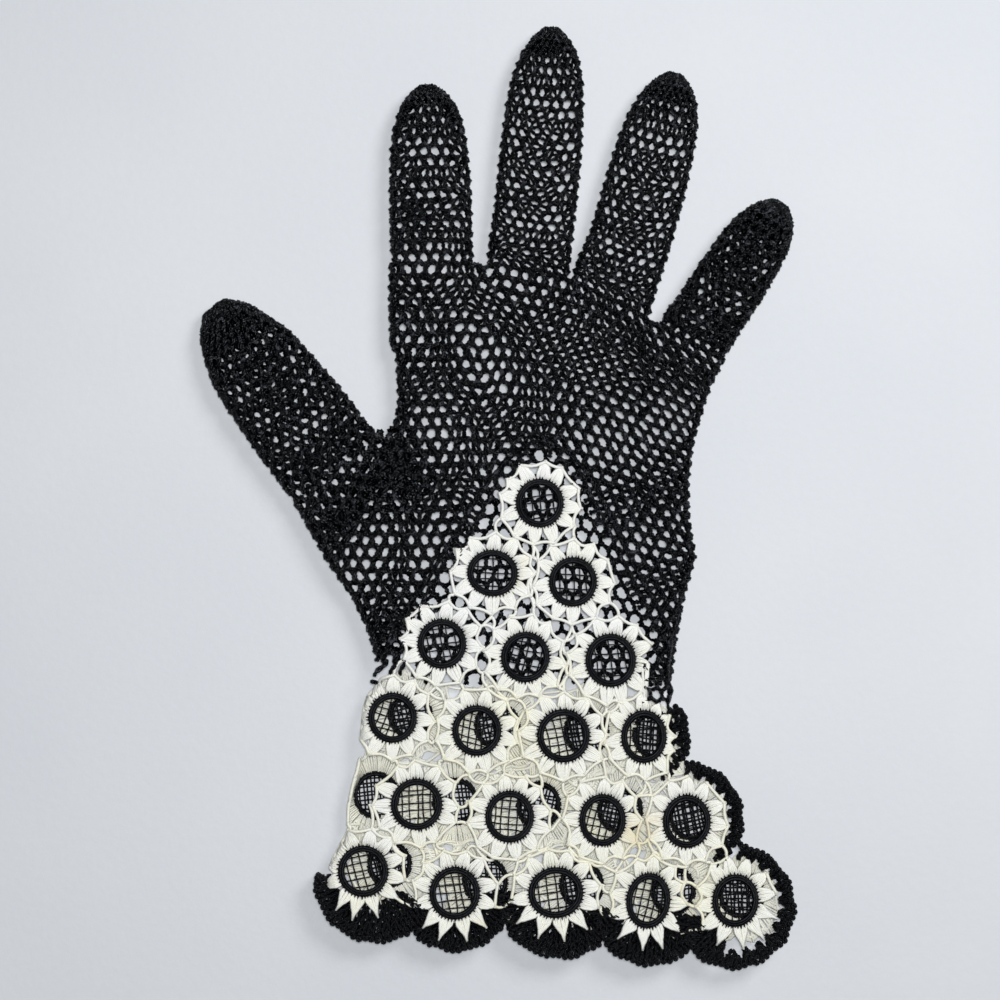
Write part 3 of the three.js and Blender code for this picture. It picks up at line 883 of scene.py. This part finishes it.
def slit_arcs():
    """The border's arcs up the slit: their middles, how far the lace may reach, their angles."""
    arcs = [(arc[1], arc[2] - BORDER_COVER, *arc[3:]) for arc in scallop_arcs()]
    centre, limit, start, end = arcs[-1]
    return arcs[SLIT_START:-1] + [(centre, limit, start, end + SLIT_OVERRUN)]


def within_border(points):
    """The points of the lace, those past the border's line up the slit drawn in, and which."""
    points = points.copy()
    moved = np.zeros(points.shape[:-1], bool)
    for centre, limit, start, end in slit_arcs():
        gap = points[..., :2] - centre
        angle = (np.arctan2(gap[..., 1], gap[..., 0]) - start) % FULL_TURN
        away = np.linalg.norm(gap, axis=-1)
        past = (angle < end - start) & (away > limit) & (away < limit + BORDER_COVER + 9)
        drawn = centre + gap * (limit / np.maximum(away, 1e-6))[..., None]
        points[..., :2] = np.where(past[..., None], drawn, points[..., :2])
        moved |= past
    return points, moved


def ray_circle(origin, angles, centre, radius):
    """How far along rays their nearest point to a circle's middle lies, and half the length of
    ray in the circle, squared."""
    gap = centre - origin
    along = np.cos(angles) * gap[0] + np.sin(angles) * gap[1]
    return along, radius**2 - (gap @ gap - along**2)


def slit_room(middle, angles):
    """How far out from a ring's middle the border up the slit begins, at each angle."""
    room = np.full(angles.shape, 1e3)
    for centre, limit, start, end in slit_arcs():
        gap = centre - middle[:2]
        if np.hypot(*gap) < limit:
            along, half = ray_circle(middle[:2], angles, centre, limit)
            reach = along + np.sqrt(half)
            x, y = reach * np.cos(angles) - gap[0], reach * np.sin(angles) - gap[1]
            turn = (np.arctan2(y, x) - start) % FULL_TURN
            room = np.where(turn < end - start, np.minimum(room, reach), room)
    return room


def short_of_border(paths):
    """The chains that stay clear of the border up the slit."""
    return paths[~within_border(paths)[1].any(axis=1)]


def padded_ring(yarn, ring, height):
    """The satin cord, and the buttonhole stitches round it with their spikes on the petals."""
    face = ring.face
    angle = np.linspace(0, FULL_TURN, 44, endpoint=False)[None, :]
    cord = ring.around(RING_MIDDLE, angle, height + 0.1 * face)
    yarn.lay(cord, RING_CORD, sides=8, closed=True, flat=1.05)
    band = ring.around(BAND_MIDDLE, angle, height + 0.05 * face)
    yarn.lay(band, BAND_HALF, sides=6, closed=True, flat=0.7)
    place = np.arange(SPIKE_COUNT) + stray(0.2, SPIKE_COUNT)
    angle = (place * FULL_TURN / SPIKE_COUNT)[:, None]
    tip = SPIKE_TIP + stray(0.3, (SPIKE_COUNT, 1))
    foot = BAND_MIDDLE + 0.2
    radius = foot + (tip - foot) * np.array([0.0, 0.5, 1.0])
    spikes = ring.around(radius, angle, height + face * np.array([0.22, 0.34, 0.26]))
    yarn.lay(spikes, np.array([0.34, 0.26, 0.07]), sides=4)


def ring_mesh(yarn, ring, height):
    """The fine net of crossing threads inside a ring."""
    front = ring.face > 0
    turn = stray(0.2)
    for quarter in range(2):
        # The back rings' net is closer and thicker than the front's: partly their own work, partly
        # painted shade that darkens their openings under the front layer.
        count = 5 if front else 9
        offsets = (np.arange(count) - (count - 1) / 2) * chance.uniform(9.8, 10.8) / count
        offsets = offsets + stray(0.2, count)
        half = np.sqrt(np.maximum(RING_MIDDLE**2 - offsets**2, 0.3)) - 0.3
        share = np.linspace(-1, 1, 6)[None, :]
        along = half[:, None] * share
        bow = stray(0.35, count)[:, None] * (1 - share**2)
        aside = offsets[:, None] + bow
        skew = turn + quarter * (FULL_TURN / 4 + stray(0.12))
        weave = 0.12 * np.sin(share * 7 + quarter * 3)
        level = height - 0.35 * ring.face + weave
        angle = np.arctan2(aside, along) + skew
        threads = ring.around(np.hypot(along, aside), angle, level)
        yarn.twist(threads, MESH_THREAD if front else MESH_THREAD * 1.35, 0.08, 2.2)


# Four places along a petal, and how wide it is there, in steps from one petal to the next
PETAL_SHARES = np.array([0.0, 0.38, 0.74, 1.0])
PETAL_SPREADS = np.array([0.93, 0.78, 0.48, 0.18])
BACK_SPREADS = np.array([0.98, 0.98, 0.84, 0.45])
HEM_TAPER = np.array([0.0, 0.05, 0.3, 0.6])  # how much of it the hem's long petals lose


def petals(yarn, chains, ring, height, fold):
    """The ring's petals, each a fan of long stitches drawn together to a tip, and the chain
    through their tips. Gives the tips."""
    start = chance.uniform(0, FULL_TURN)
    step = FULL_TURN / PETAL_COUNT
    heart = start + (np.arange(PETAL_COUNT) + stray(0.1, PETAL_COUNT)) * step
    drop = np.cos(heart + ring.turn - ring.hem) if ring.hem else np.full(PETAL_COUNT, -1.0)
    point = np.clip(drop * 1.8 - 0.5, 0, 1)
    longer = HEM_POINT * point if ring.face > 0 else BACK_POINT
    reach = PETAL_TIP + stray(0.4, PETAL_COUNT) + longer
    room = slit_room(ring.middle, heart + ring.turn) + 0.5
    reach = np.minimum(reach, np.maximum(room, SHORTEST_PETAL))
    spread = (np.arange(PETAL_STITCHES) / (PETAL_STITCHES - 1) - 0.5)[None, :]
    spread = spread + stray(0.03, (PETAL_COUNT, PETAL_STITCHES))
    foot = PETAL_FOOT + stray(0.25, spread.shape)
    tip = reach[:, None] - np.abs(spread) * (2.2 + 2.5 * point[:, None])
    tip = tip + stray(0.15, spread.shape)
    lean = stray(0.06, PETAL_COUNT)[:, None, None]
    radius = foot[..., None] + (tip - foot)[..., None] * PETAL_SHARES
    wide = PETAL_SPREADS if ring.face > 0 else BACK_SPREADS
    wide = wide * (1 - point[:, None, None] * HEM_TAPER)
    angle = heart[:, None, None] + lean * PETAL_SHARES + spread[..., None] * step * wide
    arch = np.array([-0.05, 0.25, 0.15, -0.15]) * ring.face
    stack = stray(0.04, spread.shape)[..., None]
    paths = ring.around(radius, angle, height + arch + stack).reshape(-1, 4, 3)
    width = STITCH_RADIUS * np.array([0.95, 1.1, 1.05, 0.85])
    width = width * chance.uniform(0.92, 1.1, (len(paths), 1))
    yarn.lay(fold.wrap(within_border(paths)[0], ring.face), width, sides=4, flat=0.7)
    tip_angle = heart + lean[:, 0, 0]
    through = np.minimum(reach, PETAL_TIP + 0.2) - 0.7
    tip_chain(chains, ring, tip_angle, through, point < 0.3, height, fold)
    return ring.around(reach - 0.2, tip_angle)[:, :2]


def tip_chain(yarn, ring, angle, reach, joined, height, fold):
    """The chain round a rosette through the tips of its petals, but for the long ones."""
    share = np.linspace(-0.06, 1.06, 6)
    gap = (np.roll(angle, -1) - angle) % FULL_TURN
    turn = angle[:, None] + gap[:, None] * share
    radius = reach[:, None] * (1 - share) + np.roll(reach, -1)[:, None] * share
    radius = radius - chance.uniform(0.4, 1.9, (PETAL_COUNT, 1)) * np.sin(share * FULL_TURN / 2)
    lift = 0.15 * np.sin(turn * 5 + ring.turn * 9) + 0.15
    paths = ring.around(radius, turn, height + ring.face * lift)
    paths = short_of_border(paths[joined & np.roll(joined, -1)])
    yarn.lay(fold.wrap(paths, ring.face), CHAIN_RADIUS, sides=5)


def chain_links(yarn, starts, ends, height, face, fold):
    """Chains from starts to ends, each bowed a little to one side."""
    share = np.linspace(-0.08, 1.08, 6)[None, :, None]
    run = ends - starts
    across = unit(np.stack([-run[:, 1], run[:, 0]], axis=-1))[:, None]
    across = across * stray(CHAIN_BOW, (len(starts), 1, 1))
    line = starts[:, None] + run[:, None] * share + across * (1 - (2 * share - 1) ** 2)
    lift = chance.uniform(-0.15, 0.3, (len(starts), 1)) * face
    paths = points_at(line[..., 0], line[..., 1], height + lift)
    yarn.lay(fold.wrap(short_of_border(paths), face), CHAIN_RADIUS, sides=5)


def join_rosettes(yarn, tips, longest, height, face, fold):
    """Chains that zigzag between the petal tips of neighbouring rosettes."""
    owner = np.repeat(np.arange(len(tips)), PETAL_COUNT)
    flat = np.concatenate(tips)
    gap = np.linalg.norm(flat[:, None] - flat[None], axis=-1)
    gap[owner[:, None] == owner[None]] = 1e3
    nearest = np.argsort(gap, axis=1)[:, :3]
    pairs = set()
    for tip, others in enumerate(nearest):
        for rank, other in enumerate(others):
            if 0.8 < gap[tip, other] < longest[rank]:
                pairs.add((min(tip, other), max(tip, other)))
    pairs = np.array(sorted(pairs))
    chain_links(yarn, flat[pairs[:, 0]], flat[pairs[:, 1]], height, face, fold)


def lace_layer(label, rings, level, longest, finishes, fold):
    """The rosettes of one layer with their rings, nets, petals and joining chains."""
    leaves, chains, cords = Yarn(), Yarn(), Yarn()
    tips = []
    for ring in rings.values():
        padded_ring(cords, ring, level + 0.15 * ring.face)
        ring_mesh(cords, ring, level)
        tips.append(petals(leaves, chains, ring, level, fold))
    face = ring.face
    join_rosettes(chains, tips, longest, level - 0.25 * face, face, fold)
    leaves.piece(f"{label}_petals", "ivory_lace", ["lace_cuff"], finishes[0])
    chains.piece(f"{label}_chains", "ivory_lace", ["lace_cuff"], finishes[1])
    cords.piece(f"{label}_rings", "ring_cord", list(rings), finishes[2])


# The black border

# Each scallop goes round a rosette: its ring, where its middle lies from the ring's, and its radius
SCALLOPS = (
    ("ring_front_9", 4.05, -2.3, 18.3),
    ("ring_front_10", 0.0, 0.85, 17.7),
    ("ring_front_11", 1.3, -0.4, 18.6),
    ("ring_front_12", 0.65, -0.75, 18.0),
    ("ring_front_13", -0.5, -1.9, 17.7),
    ("ring_front_8", -0.1, 0.15, 16.6),
    ("ring_front_4", -2.1, -0.55, 15.4),
)
BORDER_START = 176  # degrees round the first scallop, by the fold
BORDER_END = 40  # degrees round the last, at the wrist
SLIT_START = 4  # the scallop at the corner, from which the border runs up the slit
CORNER_TURN = -1.75  # where that scallop's border turns slim, in radians
FRONT_ROWS = 9
BACK_ROWS = 4
BEAD_PITCH = 1.75
SHELL_BEADS = 5
ROW_PITCH = 1.5
STITCH_PITCH = 1.3
SLIM_DEPTH = 4.9
DENSE_COVER = 9.4  # the close border runs in under the petals as near to a ring as this
FOREIGN_COVER = 10.3  # and as near to a neighbour's ring
SINK_START = 15.2  # from here in to a ring it dips under the petals
SINK_DEPTH = 1.9
FIRST_ROW = 1.9  # from the border's outer line in to its first row
LEAST_ROUND = 6  # rows nearer a scallop's middle are left out
BORDER_COVER = 3.6  # how far the border reaches over the lace at least
VALLEY_REACH = 0.55  # how far a scallop's rows run on into its neighbour's, in radians
SLIT_OVERRUN = 0.7  # how far past the wrist the border still holds the lace in, in radians
BORDER_LAYERS = (6.45, 1.0), (0.95, -1.0)  # how high each layer lies, and the way it faces


def scallop_arcs():
    """Each scallop's middle, radius and the angles between which it is the border's outer line."""
    circles = [(middle_of(ring)[:2] + (dx, dy), radius) for ring, dx, dy, radius in SCALLOPS]
    meets = []
    for (first, near), (second, far) in zip(circles, circles[1:]):
        gap = second - first
        apart = np.hypot(*gap)
        along = (apart**2 + near**2 - far**2) / (2 * apart)
        aside = math.sqrt(max(near**2 - along**2, 0))
        way = gap / apart
        meets.append(first + way * along + np.array([way[1], -way[0]]) * aside)
    arcs = []
    for index, (centre, radius) in enumerate(circles):
        start, end = math.radians(BORDER_START), math.radians(BORDER_END)
        if index > 0:
            start = math.atan2(*(meets[index - 1] - centre)[::-1])
        if index < len(meets):
            end = math.atan2(*(meets[index] - centre)[::-1])
        while end < start:
            end += FULL_TURN
        arcs.append((middle_of(SCALLOPS[index][0])[:2], centre, radius, start, end))
    return arcs


def circle_crossings(origin, angles, centre, radius):
    """Where rays from an origin enter and leave a circle. Rays that miss it enter it never."""
    along, half = ray_circle(origin, angles, centre, radius)
    hit = (half > 0) & (along > 0)
    half = np.sqrt(np.maximum(half, 0))
    return np.where(hit, along - half, 1e3), np.where(hit, along + half, 0.0)


def border_rows(yarn, arc, others, dense_to, runs, height, face):
    """Rows of short slanted stitches that fill a scallop from its outer line in to the petals,
    or make a slim band past the angle that it is dense to."""
    ring, centre, radius, start, end = arc
    start, end = start - runs[0], end + runs[1]
    for row in range(FRONT_ROWS if face > 0 else BACK_ROWS):
        reach = radius - FIRST_ROW - row * ROW_PITCH
        count = int((end - start) * reach / STITCH_PITCH)
        if reach < LEAST_ROUND:
            break
        angle = start + (np.arange(count) + 0.5 + 0.5 * (row % 2)) * (end - start) / (count + 0.5)
        angle = angle + stray(0.01, count)
        dense = (angle + FULL_TURN / 2) % FULL_TURN - FULL_TURN / 2 < dense_to
        covered = circle_crossings(centre, angle, ring, DENSE_COVER)[1]
        keep = reach > np.where(dense, covered, radius - SLIM_DEPTH)
        for other in others:
            keep = keep & (reach < circle_crossings(centre, angle, other, FOREIGN_COVER)[0])
        if row == 1:
            keep = keep & (dense | (np.arange(count) % 3 > 0))
        angle = angle[keep]
        slant = np.where(np.arange(len(angle)) % 2 > 0, 0.35, -0.35)
        slant = slant + stray(0.2, len(angle))
        share = np.array([-1.0, -0.35, 0.35, 1.0]) * 1.1
        spread = reach + stray(0.2, (len(angle), 1)) + share
        turn = angle[:, None] + (slant[:, None] * share) / reach
        x = centre[0] + spread * np.cos(turn)
        y = centre[1] + spread * np.sin(turn)
        sunk = np.clip((SINK_START - np.hypot(x - ring[0], y - ring[1])) / 1.8, 0, 1)
        lift = 0.25 * np.cos(share) - SINK_DEPTH * sunk + stray(0.15, (len(angle), 1))
        z = height + face * lift
        if len(angle):
            yarn.twist(points_at(x, y, z), 0.43, 0.33, 0.8)


def beads(yarn, arc, height, face):
    """Small knots in a row along the border's outer line, five to a shell."""
    _, centre, radius, start, end = arc
    count = int((end - start) * radius / BEAD_PITCH)
    place = np.arange(count) + 0.5
    turn = (start + place * (end - start) / count)[:, None]
    shell = np.abs(np.sin(place * FULL_TURN / 2 / SHELL_BEADS))[:, None]
    around = np.linspace(0, FULL_TURN, 8, endpoint=False)[None, :]
    swell = chance.uniform(0.9, 1.15, (count, 1))
    reach = radius - 1.35 + 0.8 * shell + stray(0.15, (count, 1))
    x = centre[0] + reach * np.cos(turn) + 0.45 * swell * np.cos(around)
    y = centre[1] + reach * np.sin(turn) + 0.45 * swell * np.sin(around)
    z = height + face * chance.uniform(-0.2, 0.25, (count, 1)) + 0.12 * np.sin(around * 2)
    yarn.lay(points_at(x, y, z), 0.48 * swell, sides=5, closed=True)


def border(finish):
    """The shells of the border on both layers: close under the hem, slim and open up the slit."""
    yarn = Yarn()
    arcs = scallop_arcs()
    for index, arc in enumerate(arcs):
        others = [other[0] for other in arcs if other is not arc]
        runs = VALLEY_REACH * (index > 0), VALLEY_REACH * (index < SLIT_START)
        dense_to = math.inf if index < SLIT_START else -math.inf
        if index == SLIT_START:
            dense_to = CORNER_TURN
        for height, face in BORDER_LAYERS:
            border_rows(yarn, arc, others, dense_to, runs, height, face)
            beads(yarn, arc, height, face)
    yarn.piece("scallop_border", "black_edging", ["scallop_edging"], finish)


# The studio

CAMERA_PLACE = (0.00055, -0.00074, 0.6775)  # in metres
TABLE_REACH = 1.6  # in metres, each way
TABLE_CELLS = 24


def scene_camera():
    """Straight above the glove, as the photograph was taken."""
    camera = bpy.data.cameras.new("camera")
    camera.lens = 85
    camera.sensor_width = 36
    camera.clip_start = 0.01
    bpy.context.scene.camera = put("camera", camera, CAMERA_PLACE)


def lamp(name, place, size, power):
    """A round lamp aimed at the glove."""
    light = bpy.data.lights.new(name, "AREA")
    light.shape = "DISK"
    light.size = size
    light.energy = power
    x, y, z = place
    turn = math.acos(z / math.hypot(x, y, z)), 0, math.atan2(-y, -x) - math.pi / 2
    put(name, light, place).rotation_euler = turn


def studio():
    world = bpy.data.worlds.new("studio")
    world.use_nodes = True
    sky = world.node_tree.nodes["Background"].inputs
    sky["Color"].default_value = rgba(0.84, 0.92, 1.0)
    sky["Strength"].default_value = 0.07
    bpy.context.scene.world = world
    bpy.context.scene.view_settings.view_transform = "Standard"
    lamp("overhead", (0.01, 0.03, 0.80), 0.12, 4.7)
    lamp("window", (0.50, 0.42, 0.6), 0.4, 3.4)


def table(finish):
    line = np.linspace(-TABLE_REACH, TABLE_REACH, TABLE_CELLS + 1)
    x, y = np.meshgrid(line, line)
    places = points_at(x, y, 0.0).reshape(-1, 3)
    above = TABLE_CELLS + 1
    cells = [row * above + column for row in range(TABLE_CELLS) for column in range(TABLE_CELLS)]
    faces = [(cell, cell + 1, cell + above + 1, cell + above) for cell in cells]
    mesh = bpy.data.meshes.new("table")
    mesh.from_pydata(places.tolist(), [], faces)
    mesh.materials.append(finish)
    made = put("table", mesh)


def main():
    scene_camera()
    studio()
    table(table_finish())
    black, satin = black_cotton(), ring_satin()
    hand = Hand("hand", WRIST - WRIST_OVERLAP)
    for node, (lean, close, tip_length) in FINGERS.items():
        finger_net(node, hand, lean, close, tip_length, black)
    hand_net(hand, black)

    named = [node for node in sorted(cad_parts) if node.startswith("ring_")]
    rings = {node: Ring(node) for node in named if node != "ring_finger"}
    fronts = {name: ring for name, ring in rings.items() if ring.face > 0}
    backs = {name: ring for name, ring in rings.items() if ring.face < 0}
    fresh = ivory_cotton("ivory_cotton", 0.03, 0.18)
    # The chains' copy is yellower than the petals': partly yellowing, partly painted shade where
    # the chains bunch in the gaps between petals.
    chained = ivory_cotton("chain_ivory_cotton", 0.06, 0.36)
    # The back layer's copy is yellower than the front's: partly real yellowing, partly painted
    # shade, as it lies under the front layer.
    aged_and_shaded = ivory_cotton("aged_and_shaded_ivory_cotton", 0.03, 0.28)
    fold = Fold()
    lace_layer("front_lace", fronts, *FRONT_LACE, (fresh, chained, satin), fold)
    lace_layer("back_lace", backs, *BACK_LACE, (aged_and_shaded, aged_and_shaded, satin), fold)
    border(edging_cotton())


main()
